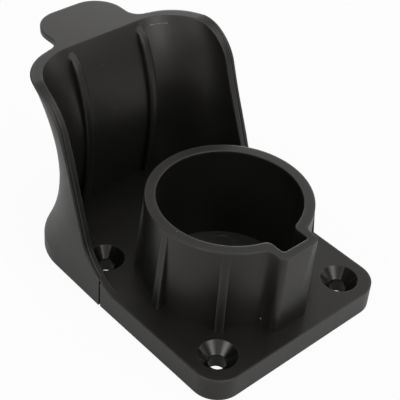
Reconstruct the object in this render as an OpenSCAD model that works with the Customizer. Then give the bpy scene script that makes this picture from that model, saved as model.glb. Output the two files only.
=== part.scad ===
// Wall holder for a round charging connector, moulded in one piece.
// Millimetres. The back face lies on z = 0, the socket axis is the Z axis, the hood stands towards +Y.

/* [Plate] */
// width of the plate
plate_w = 72; // [70:0.5:74]
// front edge of the plate, measured from the socket axis
plate_front = 36.4; // [35.5:0.2:38]
// thickness of the plate
plate_t = 8.2; // [7.8:0.1:9]
// radius of the two front corners
plate_corner_r = 8.75; // [6:0.25:10]

/* [Screw holes] */
// hole spacing across the plate
screw_pitch_x = 52.4; // [51.6:0.2:53.2]
// hole spacing along the plate
screw_pitch_y = 53; // [52:0.2:54]
// bore of a screw hole
screw_bore = 5.8; // [5:0.1:6.6]
// width of the countersink at the plate's top
screw_sink = 12.1; // [10.6:0.1:12.6]
// full angle of the countersink
screw_sink_angle = 90; // [80:1:100]

/* [Socket] */
// bore that takes the connector's barrel
socket_bore = 45; // [44:0.1:46]
// wall of the socket
socket_wall = 3.4; // [3:0.1:3.8]
// height of the socket's rim above the back face
socket_h = 37.8; // [34:0.2:40]
// height of the socket's floor above the back face
socket_floor = 4; // [3:0.1:5]
// diameter of the two ejector marks in the socket's floor
mark_d = 6.4; // [5:0.2:7]
// depth of an ejector mark
mark_sink = 0.4; // [0.2:0.1:0.6]
// distance of an ejector mark from the middle line
mark_x = 11.8; // [10:0.2:12.6]
// distance of an ejector mark behind the socket axis
mark_y = 12.4; // [11:0.2:13]

/* [Keyway] */
// width of the channel beside the bore
key_w = 10.2; // [9:0.1:11]
// end of the channel, measured from the socket axis
key_reach = 28.1; // [27.4:0.1:28.6]
// wall round the channel
key_wall = 2.6; // [2.2:0.1:3]
// radius in the channel's inner corners
key_corner_r = 1.1; // [0.8:0.1:1.6]
// radius of the bump's outer corners
key_bump_r = 2.2; // [1.6:0.1:2.6]
// radius of the hollow where the bump meets the socket
key_blend_r = 2.5; // [1.5:0.1:3.5]
// radius of the lips where the channel leaves the bore
key_lip_r = 1; // [0.6:0.1:1.4]

/* [Socket ribs] */
// width of a rib
rib_w = 2.8; // [2:0.1:3.4]
// how far a rib stands out at the plate
rib_out = 2.5; // [1.5:0.1:2.8]

/* [Hood] */
// height of the hood's top plane
hood_h = 63.8; // [61:0.2:66]
// wall of the hood
hood_wall = 3.2; // [2.8:0.1:3.4]
// draft of the side walls in degrees
hood_draft = 0.7; // [0.3:0.1:1]
// how far the side walls stand proud of the plate's sides
hood_step = 0.15; // [0.05:0.05:0.2]
// outer face of the back wall at the waist
waist_back = 56.1; // [55:0.1:58]
// height of the waist
waist_z = 32; // [30:0.2:34]
// corner radius at the waist
waist_corner_r = 27.4; // [26:0.1:28.4]

/* [Foot of the hood] */
// how far the foot stands out behind the waist
foot_flare = 4.9; // [4.2:0.1:5.4]
// how far the side walls draw in towards the back at the foot
foot_tuck = 0.5; // [0.2:0.05:0.5]
// height of the upright band at the foot
foot_band = 3.8; // [3:0.1:4.4]
// height at which the round of the foot turns into the hollow of the saddle
foot_turn = 5.6; // [5:0.2:8]
// corner radius at the foot
foot_corner_r = 20.5; // [18:0.5:22]
// how far the inner face stands back from the waist at the foot
foot_in_flare = 2.3; // [1.6:0.1:2.8]

/* [Rim of the hood] */
// how far the rim stands out behind the waist
rim_flare = 8.4; // [7.6:0.1:9]
// height of the rim's edge
rim_edge = 2.5; // [2.1:0.1:3.2]
// corner radius where the saddle meets the rim
flare_corner_r = 22; // [20:0.1:23]
// outer corner radius of the rim
rim_corner_r = 18.2; // [17:0.1:19]
// inner corner radius of the rim
rim_in_corner_r = 17.7; // [16:0.1:18.4]

/* [Front edge of the hood] */
// where the sloping front edge stands at the height below
edge_y = 31.4; // [30:0.1:33]
// height at which that is measured
edge_z = 35; // [33:0.5:37]
// lean of the front edge from upright in degrees
edge_lean = 19.4; // [18:0.1:21]
// radius of the hollow at the edge's foot
edge_foot_r = 17.7; // [15:0.1:19]
// radius of the round at the edge's head
edge_head_r = 16.5; // [15:0.1:19]

/* [Parting lines] */
// start of the moulded side walls, measured from the socket axis
hood_seam = 17.6; // [16:0.2:19]
// width of the groove at that seam
seam_w = 0.6; // [0.4:0.1:0.8]
// depth of the groove at that seam
seam_d = 0.6; // [0.6:0.05:0.8]
// distance of the line on the front edge from the side wall
parting_in = 1.3; // [1:0.1:1.6]
// width of that line
parting_w = 0.4; // [0.3:0.05:0.6]
// depth of that line
parting_d = 0.35; // [0.2:0.05:0.5]

/* [Ribs in the hood] */
// distance between the two ribs
back_rib_pitch = 27; // [24:0.2:30]
// width of a rib
back_rib_w = 3.2; // [2.6:0.1:3.8]
// how far a rib stands out of the wall
back_rib_d = 2.1; // [1.6:0.1:2.6]
// radius of a rib's rounded edges
back_rib_r = 1; // [0.6:0.1:1.2]
// gap from a rib's head to the top plane
back_rib_gap = 1.5; // [1:0.1:2.5]

/* [Tongue] */
// width of the tongue
tongue_w = 30; // [26:0.5:34]
// length of the tongue behind the rim
tongue_l = 17.9; // [15:0.1:21]
// thickness of the tongue
tongue_t = 1.8; // [1.5:0.1:2.2]
// radius of the tip's corners
tongue_tip_r = 10; // [6:0.5:12]
// radius of the hollow at the neck
tongue_neck_r = 5; // [2:0.5:6]

/* [Underside] */
// skin left over the pockets
under_skin = 3; // [2.6:0.1:3.6]
// wall round the pockets
under_wall = 3; // [2.6:0.1:3.6]
// outer diameter of a screw boss
boss_d = 16; // [15:0.2:17]
// thickness of a stiffening rib
under_rib = 2.4; // [2:0.1:3]

/* [Hidden] */
$fn = 96;
lap = 0.5;
over = 1;
graze = 0.03;
sink = 0.1;
corner_steps = 14;
low_steps = 7;
flare_steps = 10;
round_steps = 5;
half_w = plate_w / 2;
socket_r = socket_bore / 2;
socket_out_r = socket_r + socket_wall;
socket_rib_r = socket_out_r + rib_out * socket_h / (socket_h - plate_t);
key_out_w = key_w + 2 * key_wall;
screw_sink_h = (screw_sink - screw_bore) / 2 / tan(screw_sink_angle / 2);
waist_in = waist_back - hood_wall;
foot_back = waist_back + foot_flare;
foot_in = waist_in + foot_in_flare;
plate_end = (foot_in + foot_back) / 2;
rim_back = waist_back + rim_flare;
rim_z = hood_h - rim_edge;
low_turn = 2 * atan(foot_flare / (waist_z - foot_band));
low_r = (waist_z - foot_turn) / sin(low_turn);
foot_r = (foot_turn - foot_band) / sin(low_turn);
low_in_r = arc_through(foot_in_flare, waist_z - plate_t);
low_in_y = waist_in + low_in_r;
flare_r = arc_through(rim_flare, rim_z - waist_z);
flare_y = waist_back + flare_r;
flare_turn = asin((rim_z - waist_z) / flare_r);
edge_turn = tan((90 - edge_lean) / 2);
edge_foot_y = edge_line(plate_t) - edge_foot_r * edge_turn;
edge_foot_z = plate_t + edge_foot_r;
edge_head_y = edge_line(hood_h) + edge_head_r * edge_turn;
edge_head_z = hood_h - edge_head_r;
edge_low = [edge_foot_y + edge_foot_r * cos(edge_lean), edge_foot_z - edge_foot_r * sin(edge_lean)];
edge_high = [edge_head_y - edge_head_r * cos(edge_lean), edge_head_z + edge_head_r * sin(edge_lean)];

// Radius of an arc that starts upright and moves by sag over a rise.
function arc_through(sag, rise) = (rise * rise + sag * sag) / (2 * sag);

// How far such an arc has moved at a rise.
function arc_sag(r, rise) = r - sqrt(r * r - rise * rise);

// Front edge of the hood as a straight line, seen from the side.
function edge_line(z) = edge_y + (z - edge_z) * tan(edge_lean);

// Half width of the hood at a height.
function hood_half(z) = half_w + hood_step - z * tan(hood_draft);

// Outer and inner face of the back wall at a height: band, round of the foot, saddle, flare, rim.
function back_out(z) = z < foot_band ? foot_back
    : z < foot_turn ? foot_back - arc_sag(foot_r, z - foot_band)
    : z < waist_z ? waist_back + arc_sag(low_r, waist_z - z)
    : z < rim_z ? waist_back + arc_sag(flare_r, z - waist_z)
    : rim_back;
function back_in(z) = z < waist_z
    ? waist_in + arc_sag(low_in_r, waist_z - z)
    : waist_in + arc_sag(flare_r + hood_wall, z - waist_z);

// Corner radius in plan: largest at the waist, less towards the foot and the rim.
function blend(a, b, t) = a + (b - a) * t;
function low_share(z) = (back_out(z) - waist_back) / foot_flare;
function flare_share(z) = (back_out(z) - waist_back) / rim_flare;
function rim_share(z) = (z - rim_z) / rim_edge;
function corner_out(z) = z < waist_z ? blend(waist_corner_r, foot_corner_r, low_share(z))
    : z < rim_z ? blend(waist_corner_r, flare_corner_r, flare_share(z))
    : blend(flare_corner_r, rim_corner_r, rim_share(z));
function in_share(z, end) = (back_in(z) - waist_in) / (back_in(end) - waist_in);
function corner_in(z) = z < waist_z
    ? blend(waist_corner_r, foot_corner_r, in_share(z, plate_t)) - hood_wall
    : blend(waist_corner_r - hood_wall, rim_in_corner_r, in_share(z, hood_h));

// How far the sides draw in towards the back at a height.
function tuck(z) = z < waist_z ? foot_tuck * low_share(z) : 0;

// Plan outline of the hood at a height: two straight sides, two corners, a straight back.
function turn(x, y, r, from) = [for (i = [0:corner_steps])
    let (a = from - 90 * i / corner_steps) [x + r * cos(a), y + r * sin(a)]];
function outline(w, tuck, back, r, front) = concat([[-w, front]], turn(r + tuck - w, back - r, r, 180),
    turn(w - tuck - r, back - r, r, 90), [[w, front]]);
function ring(points, z) = [for (p = points) [p[0], p[1], z]];
function ring_out(z) = ring(outline(hood_half(z), tuck(z), back_out(z), corner_out(z), hood_seam), z);
function in_half(z) = hood_half(z) - hood_wall;
function ring_in(z) = ring(outline(in_half(z), tuck(z), back_in(z), corner_in(z), hood_seam - over), z);

// Heights at which the outlines are taken.
round_levels = [for (i = [1:round_steps]) foot_band + foot_r * sin(low_turn * i / round_steps)];
low_levels = [for (i = [1:low_steps]) waist_z - low_r * sin(low_turn * (1 - i / low_steps))];
flare_levels = [for (i = [1:flare_steps]) waist_z + flare_r * sin(flare_turn * i / flare_steps)];
levels_out = concat([0, foot_band], round_levels, low_levels, flare_levels, [hood_h]);
low_in_levels = [for (i = [0:low_steps]) blend(plate_t - lap, waist_z, i / low_steps)];
levels_in = concat(low_in_levels, flare_levels, [hood_h, hood_h + lap]);

// Skin over a stack of outlines that have the same number of points.
module loft(rings) {
    n = len(rings[0]);
    top = len(rings) - 1;
    skin = [for (k = [0:top - 1]) for (i = [0:n - 1]) for (half = [0, 1])
        let (a = k * n + i, b = k * n + (i + 1) % n)
        half == 0 ? [a, b, b + n] : [a, b + n, a + n]];
    floor = [for (i = [n - 1:-1:0]) i];
    lid = [for (i = [0:n - 1]) top * n + i];
    polyhedron(points = [for (r = rings) each r], faces = concat([floor, lid], skin), convexity = 6);
}

// Rounded rectangle with its own radius at the front and at the back.
module rounded(w, front, back, r_front, r_back) {
    translate([-w, front + r_front])
        square([2 * w, back - front - r_front - r_back]);
    translate([r_front - w, front])
        square([2 * (w - r_front), r_front + lap]);
    translate([r_back - w, back - r_back - lap])
        square([2 * (w - r_back), r_back + lap]);
    for (side = [-1, 1]) {
        translate([side * (w - r_front), front + r_front])
            circle(r_front);
        translate([side * (w - r_back), back - r_back])
            circle(r_back);
    }
}

// Shape drawn as seen from the side, run across the holder.
module across(from, length) {
    translate([from, 0, 0])
        rotate([90, 0, 90])
            linear_extrude(length)
                children();
}

module at_screws() {
    for (x = [-1, 1], y = [-1, 1])
        translate([x * screw_pitch_x / 2, y * screw_pitch_y / 2])
            children();
}

// Screw plate, with its sides set back behind the seam, where the hood forms them.
module plate_body() {
    linear_extrude(plate_t) {
        rounded(half_w, -plate_front, hood_seam - seam_w, plate_corner_r, sink);
        rounded(half_w - seam_d, 0, plate_end, sink, foot_corner_r);
    }
}

// Round shape with a key on its -Y side, joined by a rounded throat.
module keyed(r, half, reach, corner_r, throat_r) {
    x = half + throat_r;
    y = sqrt(pow(r + throat_r, 2) - x * x);
    circle(r);
    rounded(half, -reach, -r / 2, corner_r, lap);
    difference() {
        translate([-x, -y])
            square([2 * x, y - r / 2]);
        for (side = [-1, 1])
            translate([side * x, -y])
                circle(throat_r + graze);
    }
}

module socket_shape() {
    keyed(socket_out_r, key_out_w / 2, key_reach + key_wall, key_bump_r, key_blend_r);
}

module socket_body() {
    linear_extrude(socket_h)
        socket_shape();
    intersection() {
        cylinder(h = socket_h, r1 = socket_rib_r, r2 = socket_out_r - sink);
        for (turn = [0:45:135])
            rotate(turn)
                translate([-socket_rib_r, -rib_w / 2, 0])
                    cube([2 * socket_rib_r, rib_w, socket_h]);
    }
}

module socket_space() {
    translate([0, 0, socket_floor])
        linear_extrude(socket_h)
            keyed(socket_r, key_w / 2, key_reach, key_corner_r, key_lip_r);
    for (side = [-1, 1])
        translate([side * mark_x, mark_y, socket_floor - mark_sink])
            cylinder(h = mark_sink + over, d = mark_d);
}

module screw_holes() {
    at_screws() {
        translate([0, 0, -over])
            cylinder(h = plate_t + 2 * over, d = screw_bore);
        translate([0, 0, plate_t - screw_sink_h])
            cylinder(h = 2 * screw_sink_h, d1 = screw_bore, d2 = 2 * screw_sink - screw_bore);
    }
}

// All that lies behind the hood's front edge, seen from the side.
module edge_side() {
    far = foot_back + rim_back;
    difference() {
        union() {
            polygon([
                [edge_foot_y, -over],
                [far, -over],
                [far, hood_h + over],
                [edge_head_y, hood_h + over],
                [edge_head_y, edge_head_z],
                edge_high,
                edge_low,
                [edge_foot_y, plate_t]
            ]);
            translate([edge_head_y, edge_head_z])
                circle(edge_head_r + graze);
        }
        translate([edge_foot_y, edge_foot_z])
            circle(edge_foot_r + sink);
    }
}

// Fine line along the front edge, as far in from each side wall.
module parting_lines() {
    for (side = [-1, 1])
        translate([side * (hood_half(0) - parting_in), 0, 0])
            rotate([0, -side * hood_draft, 0])
                across(-parting_w / 2, parting_w)
                    difference() {
                        translate([0, plate_t])
                            square([edge_head_y, hood_h]);
                        translate([parting_d, 0])
                            edge_side();
                    }
}

module hood_shell() {
    difference() {
        intersection() {
            difference() {
                loft([for (z = levels_out) ring_out(z)]);
                loft([for (z = levels_in) ring_in(z)]);
            }
            across(-half_w - over, plate_w + 2 * over)
                edge_side();
        }
        parting_lines();
    }
}

// Low feet of the front edge that run out on the plate, with the seam's groove in their outer sides.
module hood_feet() {
    inner = half_w + hood_step - hood_wall;
    for (part = [[half_w, hood_seam - seam_w], [half_w - seam_d, hood_seam + over]])
        for (from = [-part[0], inner])
            across(from, part[0] - inner)
                intersection() {
                    edge_side();
                    translate([edge_foot_y, plate_t - lap])
                        square([part[1] - edge_foot_y, edge_foot_r]);
                }
}

// Round-edged rib along an arc about an axis that runs across the holder at the height of the waist.
module rib_arc(axis_y, face_r, from, sweep) {
    translate([-back_rib_w / 2, axis_y, waist_z])
        rotate([0, 90, 0])
            rotate(from)
                rotate_extrude(angle = sweep) {
                    translate([face_r - hood_wall / 2, 0])
                        square([hood_wall / 2 + back_rib_d - back_rib_r, back_rib_w]);
                    translate([face_r, back_rib_r])
                        square([back_rib_d, back_rib_w - 2 * back_rib_r]);
                    for (x = [back_rib_r, back_rib_w - back_rib_r])
                        translate([face_r + back_rib_d - back_rib_r, x])
                            circle(back_rib_r);
                }
}

module hood_ribs() {
    high = asin((hood_h - back_rib_gap - waist_z) / (flare_r + hood_wall));
    low = asin((waist_z - plate_t + lap) / low_in_r);
    for (side = [-1, 1])
        translate([side * back_rib_pitch / 2, 0, 0]) {
            rib_arc(flare_y, flare_r + hood_wall, -90 - high, high);
            rib_arc(low_in_y, low_in_r, -90, low);
        }
}

module tongue() {
    neck = tongue_w / 2 + tongue_neck_r;
    root = rim_back - hood_wall / 3;
    translate([0, 0, hood_h - tongue_t])
        linear_extrude(tongue_t) {
            rounded(tongue_w / 2, root, rim_back + tongue_l, lap, tongue_tip_r);
            difference() {
                translate([-neck, root])
                    square([2 * neck, rim_back + tongue_neck_r - root]);
                for (side = [-1, 1])
                    translate([side * neck, rim_back + tongue_neck_r])
                        circle(tongue_neck_r + graze);
            }
        }
}

module underside() {
    inner_w = half_w - under_wall;
    translate([0, 0, -over])
        linear_extrude(plate_t - under_skin + over)
            difference() {
                rounded(inner_w, under_wall - plate_front, foot_in - under_wall,
                    plate_corner_r - under_wall, foot_corner_r - under_wall);
                socket_shape();
                at_screws()
                    circle(d = boss_d);
                translate([-half_w, -under_rib / 2])
                    square([plate_w, under_rib]);
                translate([-under_rib / 2, -plate_front])
                    square([under_rib, plate_front + foot_back]);
                for (side = [-1, 1])
                    translate([side * screw_pitch_x / 2 - under_rib / 2, -plate_front])
                        square([under_rib, plate_front + foot_back]);
            }
}

module holder() {
    color([0.06, 0.06, 0.065])
        difference() {
            union() {
                plate_body();
                socket_body();
                hood_shell();
                hood_feet();
                hood_ribs();
                tongue();
            }
            socket_space();
            screw_holes();
            underside();
        }
}

holder();
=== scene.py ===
"""Looks of the charging connector's wall holder: one moulding in black plastic."""
import math

import bmesh
import bpy
from mathutils import Matrix, Vector


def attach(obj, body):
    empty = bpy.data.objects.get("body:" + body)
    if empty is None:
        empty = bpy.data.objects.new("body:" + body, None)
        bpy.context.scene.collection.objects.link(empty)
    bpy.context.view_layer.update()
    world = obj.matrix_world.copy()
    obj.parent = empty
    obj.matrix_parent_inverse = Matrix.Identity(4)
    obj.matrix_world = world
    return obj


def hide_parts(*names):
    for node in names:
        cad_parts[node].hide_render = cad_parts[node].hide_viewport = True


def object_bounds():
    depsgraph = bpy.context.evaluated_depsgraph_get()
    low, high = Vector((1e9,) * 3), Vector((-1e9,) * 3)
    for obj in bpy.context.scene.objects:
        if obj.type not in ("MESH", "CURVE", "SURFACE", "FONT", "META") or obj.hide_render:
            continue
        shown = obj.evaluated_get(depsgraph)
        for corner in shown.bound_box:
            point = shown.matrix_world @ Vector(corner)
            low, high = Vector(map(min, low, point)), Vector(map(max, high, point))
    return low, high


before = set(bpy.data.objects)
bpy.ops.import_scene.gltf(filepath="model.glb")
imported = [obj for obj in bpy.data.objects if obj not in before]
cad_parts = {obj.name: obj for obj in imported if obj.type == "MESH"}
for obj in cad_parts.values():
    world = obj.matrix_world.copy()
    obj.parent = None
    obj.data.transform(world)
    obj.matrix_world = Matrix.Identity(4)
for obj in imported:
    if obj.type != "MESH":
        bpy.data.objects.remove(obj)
cad_box = [list(c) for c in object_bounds()]
MM = 0.001

# Places on the moulding, in millimetres, as the solid has them
PLATE_TOP = 8.2
SCREW_X, SCREW_Y, SINK_RADIUS = 26.2, 26.5, 6.1
SOCKET_RADIUS, SOCKET_OUTSIDE, SOCKET_FLOOR = 22.5, 25.9, 4.0
KEY_HALF, KEY_LIP = 5.1, 1.0
HOOD_RIB_X, HOOD_RIB_W, HOOD_RIB_OUT = 13.5, 3.2, 2.1

# Small forms that the skin gets beyond the solid, in millimetres and degrees
SLACK = 0.05
JOIN_WITHIN, SHARP_FROM = 0.006, 28.0
KEY_STEP_X, KEY_STEP_Y = (9.7, 10.21), (-24.02, -23.9)
KEY_LIP_EASED, KEY_LIP_Y, KEY_LIP_TURN = 2.2, (-22.5, -21.6), (166.2, 90.0)
RIB_FOOT_Y, RIB_FOOT_Z = 61.36, 62.3
RIB_INWARD = Vector((0.0, 0.853, -0.522))

# Points of a hood rib near its head: range of z, range of y, share sunk, share narrowed
RIB_HEAD_BANDS = (
    (62.8, 64.0, 50.0, 60.5, 0.9, 0.7),      # end of the rib
    (60.6, 61.3, 50.0, 59.3, 0.3, 0.3),      # next points down its ridge
    (62.2, 62.4, 61.25, 61.45, 0.0, 0.6),    # foot of the end on the hood's wall
)

# Marks and a painted highlight streak on the skin, in millimetres: points along a line and its half width,
# or a point and its radius
HOOD_SCRATCH = ((18.0, 60.45, 61.66), (20.9, 59.42, 61.72), (23.4, 58.15, 61.66))
KEY_HIGHLIGHT_STREAK = ((5.5, -30.7, 37.0), (4.6, -30.7, 31.5), (2.7, -30.7, 19.0))
SCRATCH_WIDTH, HIGHLIGHT_STREAK_WIDTH = 0.13, 1.3
SPECKS = (
    ((-3.7, 57.9, 55.6), 0.16),
    ((-1.1, 53.6, 40.7), 0.15),
    ((-8.0, -25.3, 10.7), 0.32),
    ((-23.3, -2.5, 37.8), 0.18),
)

# Finish of the plastic and its painted highlights: linear colours, millimetres, and pattern scales with
# their detail
DEEP_BLACK, PALE_BLACK = (0.0048, 0.0046, 0.0043, 1.0), (0.0076, 0.0072, 0.0066, 1.0)
WARM_GLOSS = (1.0, 0.972, 0.925, 1.0)
DUST_AND_HIGHLIGHT_GREY, SCRATCH_GREY = 0.30, 0.42
GRAIN, MOTTLE, FLOW, DUST = (2600.0, 2.0), (330.0, 2.0), (45.0, 3.0), (900.0, 1.0)
GRAIN_STRENGTH, GRAIN_DEPTH = 0.10, 0.04
EDGE_REACH, EDGE_GAIN, EDGE_ROUND = 1.0, 2.2, 0.7
CONE_BELOW, LIGHTER_FLOOR_UP_TO = PLATE_TOP - 0.02, SOCKET_FLOOR + 0.2
NODE_SAMPLES = 8

# Soft boxes round the object: bearing from the camera's side, height angle, how narrow, strength
SOFT_BOXES = (
    (0.0, 90.0, 6.0, 1.3),       # overhead
    (0.0, 31.0, 24.0, 1.2),      # by the camera
    (45.0, 31.0, 24.0, 3.7),     # front right
    (315.0, 31.0, 24.0, 4.7),    # front left
    (60.0, 58.0, 24.0, 1.9),     # high front right
    (120.0, 31.0, 24.0, 2.9),    # right
    (82.0, 13.0, 24.0, 0.35),    # low right
    (180.0, 10.0, 6.0, 1.0),     # behind
    (180.0, 8.0, 24.0, 2.1),     # low strip behind
)

# Floor: its grey, how much of the white shows to the eye and in gloss, and its shade under the part
FLOOR_GREY, FLOOR_SEEN, FLOOR_MIRRORED = 0.66, 0.94, 0.2
FLOOR_SIZE, FLOOR_GAP = 6.0, 0.05
SHADE_REACH, SHADE_GAIN = 12.0, 3.0

# Camera at the photo's viewing angle, in degrees and millimetres
CAMERA_BEARING, CAMERA_HEIGHT, CAMERA_ROLL = -44.55, 39.32, 4.58
CAMERA_PLACE = (-187.75, -176.45, 247.18)
LENS, SENSOR, SHIFT = 99.04, 36.0, (0.0087, -0.0070)
CLIP_NEAR, CLIP_FAR = 0.01, 20.0


class Shade:
    """One socket of a shader tree. Sums and products of sockets add their Math nodes."""

    def __init__(self, tree, socket=None):
        self.tree, self.socket = tree, socket

    def node(self, kind, settings=None, sockets=None, out=0):
        """Adds a node: its settings first, then the values or links of its sockets."""
        made = self.tree.nodes.new(kind)
        for name, value in (settings or {}).items():
            setattr(made, name, value)
        for name, value in (sockets or {}).items():
            if isinstance(value, Shade):
                self.tree.links.new(value.socket, made.inputs[name])
            else:
                made.inputs[name].default_value = value
        return Shade(self.tree, made.outputs[out] if len(made.outputs) else None)

    def maths(self, operation, *values, clamp=False):
        settings = {"operation": operation, "use_clamp": clamp}
        return self.node("ShaderNodeMath", settings, dict(enumerate(values)))

    def vector(self, operation, *values, out=0):
        return self.node("ShaderNodeVectorMath", {"operation": operation}, dict(enumerate(values)), out)

    def held(self):
        """This value kept between 0 and 1."""
        return self.maths("ADD", self, 0.0, clamp=True)

    def __add__(self, other):
        return self.maths("ADD", self, other)

    def __radd__(self, other):
        return self.maths("ADD", other, self)

    def __sub__(self, other):
        return self.maths("SUBTRACT", self, other)

    def __rsub__(self, other):
        return self.maths("SUBTRACT", other, self)

    def __mul__(self, other):
        return self.maths("MULTIPLY", self, other)

    def __rmul__(self, other):
        return self.maths("MULTIPLY", other, self)

    def __truediv__(self, other):
        return self.maths("DIVIDE", self, other)

    def __rtruediv__(self, other):
        return self.maths("DIVIDE", other, self)

    def __pow__(self, other):
        return self.maths("POWER", self, other)

    def __rpow__(self, other):
        return self.maths("POWER", other, self)

    def __abs__(self):
        return self.maths("ABSOLUTE", self)


def grey(value):
    return (value, value, value, 1.0)


def empty_tree(owner):
    """Start of the shader tree of a material or a world."""
    owner.use_nodes = True
    owner.node_tree.nodes.clear()
    return Shade(owner.node_tree)


def ease_rib_heads(skin):
    """The hood's two ribs run out in a narrow slope at the top instead of a square end."""
    for point in skin.verts:
        x, y, z = point.co / MM
        off = abs(x) - HOOD_RIB_X
        if abs(off) >= HOOD_RIB_W / 2 + SLACK:
            continue
        out = RIB_INWARD.dot(Vector((0, RIB_FOOT_Y - y, RIB_FOOT_Z - z)))
        for low_z, high_z, low_y, high_y, sink, narrow in RIB_HEAD_BANDS:
            if low_z < z < high_z and low_y < y < high_y:
                point.co += RIB_INWARD * (sink * min(max(out, 0.0), HOOD_RIB_OUT)) * MM
                point.co.x -= math.copysign(1.0, x) * narrow * off * MM


def press_key_step(skin):
    """Beside the key's bump the solid stands 0.17 mm proud of the socket. It is pressed flush."""
    for point in skin.verts:
        x, y = point.co.x / MM, point.co.y / MM
        if KEY_STEP_X[0] < abs(x) < KEY_STEP_X[1] and KEY_STEP_Y[0] < y < KEY_STEP_Y[1]:
            point.co.y = -math.sqrt(SOCKET_OUTSIDE ** 2 - x * x) * MM


def lip_centre(radius):
    """Centre of a rounding of this radius between the key channel's side and the socket's wall."""
    x = KEY_HALF + radius
    return x, -math.sqrt((SOCKET_RADIUS + radius) ** 2 - x * x)


def ease_key_mouth(skin):
    """The two corners where the key channel meets the socket, rounder towards the rim."""
    old_x, old_y = lip_centre(KEY_LIP)
    new_x, new_y = lip_centre(KEY_LIP_EASED)
    first, last = KEY_LIP_TURN
    new_first, new_last = 180.0, math.degrees(math.atan2(-new_y, -new_x))
    for point in skin.verts:
        x, y, z = point.co / MM
        on_lip = KEY_HALF - SLACK < abs(x) < old_x + SLACK and KEY_LIP_Y[0] < y < KEY_LIP_Y[1]
        if on_lip and z > SOCKET_FLOOR + SLACK:
            angle = math.degrees(math.atan2(y - old_y, abs(x) - old_x))
            share = min(max((first - angle) / (first - last), 0.0), 1.0)
            turn = math.radians(new_first - share * (new_first - new_last))
            point.co.x = math.copysign(new_x + KEY_LIP_EASED * math.cos(turn), x) * MM
            point.co.y = (new_y + KEY_LIP_EASED * math.sin(turn)) * MM


def moulding():
    """The solid's own skin with its points joined, so that its hollows and rounds shade smoothly."""
    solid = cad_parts["holder"]
    skin = bmesh.new()
    skin.from_mesh(solid.data)
    press_key_step(skin)
    bmesh.ops.remove_doubles(skin, verts=skin.verts, dist=JOIN_WITHIN * MM)
    ease_rib_heads(skin)
    ease_key_mouth(skin)
    skin.verts.index_update()
    mesh = bpy.data.meshes.new("holder_moulding")
    mesh.from_pydata([v.co for v in skin.verts], [], [[v.index for v in f.verts] for f in skin.faces])
    skin.free()
    mesh.polygons.foreach_set("use_smooth", [True] * len(mesh.polygons))
    mesh.set_sharp_from_angle(angle=math.radians(SHARP_FROM))
    piece = bpy.data.objects.new("holder_moulding", mesh)
    bpy.context.scene.collection.objects.link(piece)
    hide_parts("holder")
    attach(piece, "root")
    return piece


def near_lines(start, place, points, width):
    """For each stretch between the points: 1 on its line, fading out over the half width."""
    shares = []
    for first, second in zip(points, points[1:]):
        origin = Vector(first) * MM
        run = Vector(second) * MM - origin
        step = start.vector("SUBTRACT", place, tuple(origin))
        along = start.vector("DOT_PRODUCT", step, tuple(run / run.length_squared), out=1).held()
        foot = start.node("ShaderNodeVectorMath", {"operation": "SCALE"}, {0: tuple(run), "Scale": along})
        off = start.vector("DISTANCE", step, foot, out=1)
        shares.append((1.0 - off / (width * MM)).held())
    return shares


def near_point(start, place, point, radius):
    """1 within a third of the radius, fading out to the radius."""
    off = start.vector("DISTANCE", place, tuple(Vector(point) * MM), out=1)
    return (1.5 - 1.5 * (off / (radius * MM))).held()


def highest(start, shares):
    top = shares[0]
    for share in shares[1:]:
        top = start.maths("MAXIMUM", top, share)
    return top


def outer_edges(start):
    """1 along the skin's outer edges. Inner corners stay 0."""
    settings = {"inside": True, "only_local": True, "samples": NODE_SAMPLES}
    thick = start.node("ShaderNodeAmbientOcclusion", settings, {"Distance": EDGE_REACH * MM}, out="AO")
    return (EDGE_GAIN * (1.0 - thick)).held()


def broken_edges(start, edge):
    """Normal of the skin with its outer edges broken, as a mould leaves them."""
    skin = start.node("ShaderNodeNewGeometry", out="Normal")
    turned = start.node("ShaderNodeBevel", {"samples": NODE_SAMPLES}, {"Radius": EDGE_ROUND * MM})
    mixed = start.node("ShaderNodeMix", {"data_type": "VECTOR"}, {0: edge, 4: skin, 5: turned}, out=1)
    return start.vector("NORMALIZE", mixed)


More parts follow.
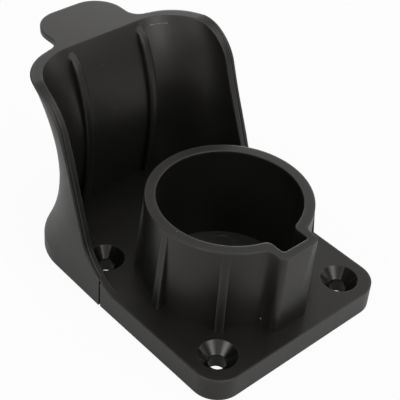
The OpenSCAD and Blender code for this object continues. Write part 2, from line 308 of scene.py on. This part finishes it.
def black_plastic():
    material = bpy.data.materials.new("black_moulded_plastic")
    start = empty_tree(material)
    place = start.node("ShaderNodeTexCoord", out="Object")
    across, along, height = (
        start.node("ShaderNodeSeparateXYZ", None, {0: place}, out=axis) for axis in range(3))

    # moulded grain, mottled skin, slow flow marks of the melt and fine handling dust
    grain, mottle, flow, dust = (
        start.node("ShaderNodeTexNoise", None, {"Vector": place, "Scale": scale, "Detail": detail})
        for scale, detail in (GRAIN, MOTTLE, FLOW, DUST))
    edge = outer_edges(start)

    # polished cones of the screw holes
    off_x = abs(across) - SCREW_X * MM
    off_y = abs(along) - SCREW_Y * MM
    near_screw = start.maths("LESS_THAN", off_x * off_x + off_y * off_y, (SINK_RADIUS * MM) ** 2)
    cone = near_screw * start.maths("LESS_THAN", height, CONE_BELOW * MM)

    # the socket's floor, painted lighter
    in_socket = start.maths("LESS_THAN", across * across + along * along, (SOCKET_RADIUS * MM) ** 2)
    above_back = start.maths("GREATER_THAN", height, 0.5 * SOCKET_FLOOR * MM)
    socket_floor = in_socket * above_back * start.maths("LESS_THAN", height, LIGHTER_FLOOR_UP_TO * MM)

    # scratch under the hood's rim and light specks, then a painted highlight streak that fades down the
    # key's bump
    specks = [near_point(start, place, point, radius) for point, radius in SPECKS]
    mark = highest(start, near_lines(start, place, HOOD_SCRATCH, SCRATCH_WIDTH) + specks)
    streak_top, streak_end = KEY_HIGHLIGHT_STREAK[0][2] * MM, KEY_HIGHLIGHT_STREAK[-1][2] * MM
    fading = ((height - streak_end) / (streak_top - streak_end)).held()
    highlight_streak = highest(start, near_lines(start, place, KEY_HIGHLIGHT_STREAK, HIGHLIGHT_STREAK_WIDTH)) * fading

    def paint(under, over, share):
        return start.node("ShaderNodeMix", {"data_type": "RGBA"}, {0: share, 6: under, 7: over}, out=2)

    colour = paint(DEEP_BLACK, PALE_BLACK, flow)
    colour = paint(colour, grey(DUST_AND_HIGHLIGHT_GREY), (6.0 * dust - 4.1).held() * 0.02)
    # outer edges painted lighter: a painted highlight along them
    colour = paint(colour, grey(DUST_AND_HIGHLIGHT_GREY), edge * (0.02 + 0.06 * mottle))
    colour = paint(colour, grey(DUST_AND_HIGHLIGHT_GREY), socket_floor * (0.04 + 0.06 * mottle))
    # painted highlight streak down the key's bump, fading towards its foot
    colour = paint(colour, grey(DUST_AND_HIGHLIGHT_GREY), highlight_streak * (0.42 * mottle - 0.02).held())
    colour = paint(colour, grey(SCRATCH_GREY), 0.75 * mark)
    rough = 0.28 + 0.07 * flow + 0.07 * mottle + 0.04 * grain - 0.24 * cone + 0.2 * mark
    bump = start.node("ShaderNodeBump", None, {
        "Strength": GRAIN_STRENGTH, "Distance": GRAIN_DEPTH * MM,
        "Height": grain, "Normal": broken_edges(start, edge)})
    shader = start.node("ShaderNodeBsdfPrincipled", None, {
        "Base Color": colour, "Roughness": rough, "Normal": bump, "Specular Tint": WARM_GLOSS})
    start.node("ShaderNodeOutputMaterial", None, {"Surface": shader})
    return material


def studio_floor():
    material = bpy.data.materials.new("pale_floor")
    start = empty_tree(material)
    camera, mirror, through = (
        start.node("ShaderNodeLightPath", out=ray)
        for ray in ("Is Camera Ray", "Is Glossy Ray", "Is Transmission Ray"))
    paint = start.node("ShaderNodeBsdfDiffuse", None, {"Color": grey(FLOOR_GREY)})
    glow = start.node("ShaderNodeEmission", None, {"Color": grey(1.0), "Strength": 1.0})
    open_above = start.node("ShaderNodeAmbientOcclusion", {"samples": NODE_SAMPLES},
                            {"Distance": SHADE_REACH * MM}, out="AO")
    mirrored = FLOOR_MIRRORED * (mirror + through) * (SHADE_GAIN * open_above).held()
    shader = start.node("ShaderNodeMixShader", None, {0: FLOOR_SEEN * camera + mirrored, 1: paint, 2: glow})
    start.node("ShaderNodeOutputMaterial", None, {"Surface": shader})
    bpy.ops.mesh.primitive_plane_add(size=FLOOR_SIZE, location=(0, 0, cad_box[0][2] - FLOOR_GAP * MM))
    floor = bpy.context.object
    floor.name = "studio_floor"
    floor.data.materials.append(material)


def bearing(azimuth, elevation):
    """Direction from the object: 0 is the key's side, 90 is to the right of it."""
    a, e = math.radians(azimuth), math.radians(elevation)
    return Vector((math.sin(a) * math.cos(e), -math.cos(a) * math.cos(e), math.sin(e)))


def studio_light():
    world = bpy.data.worlds.new("studio")
    bpy.context.scene.world = world
    start = empty_tree(world)
    way = start.node("ShaderNodeTexCoord", out="Generated")
    light = 0.0
    for azimuth, elevation, narrow, strength in SOFT_BOXES:
        towards = tuple(bearing(CAMERA_BEARING + azimuth, elevation))
        light = light + strength * start.vector("DOT_PRODUCT", way, towards, out=1).held() ** narrow
    sky = start.node("ShaderNodeBackground", None, {"Color": grey(1.0), "Strength": light})
    start.node("ShaderNodeOutputWorld", None, {"Surface": sky})


def photo_camera():
    back = bearing(CAMERA_BEARING, CAMERA_HEIGHT)
    right = Vector((0, 0, 1)).cross(back).normalized()
    up = back.cross(right)
    roll = math.radians(CAMERA_ROLL)
    tilted_right = right * math.cos(roll) + up * math.sin(roll)
    tilted_up = up * math.cos(roll) - right * math.sin(roll)
    data = bpy.data.cameras.new("photo_camera")
    data.lens, data.sensor_width = LENS, SENSOR
    data.shift_x, data.shift_y = SHIFT
    data.clip_start, data.clip_end = CLIP_NEAR, CLIP_FAR
    camera = bpy.data.objects.new("photo_camera", data)
    bpy.context.scene.collection.objects.link(camera)
    turn = Matrix((tilted_right, tilted_up, back)).transposed().to_4x4()
    camera.matrix_world = Matrix.Translation(Vector(CAMERA_PLACE) * MM) @ turn
    bpy.context.scene.camera = camera


holder = moulding()
holder.data.materials.append(black_plastic())
studio_floor()
studio_light()
photo_camera()
bpy.context.scene.view_settings.view_transform = "Standard"
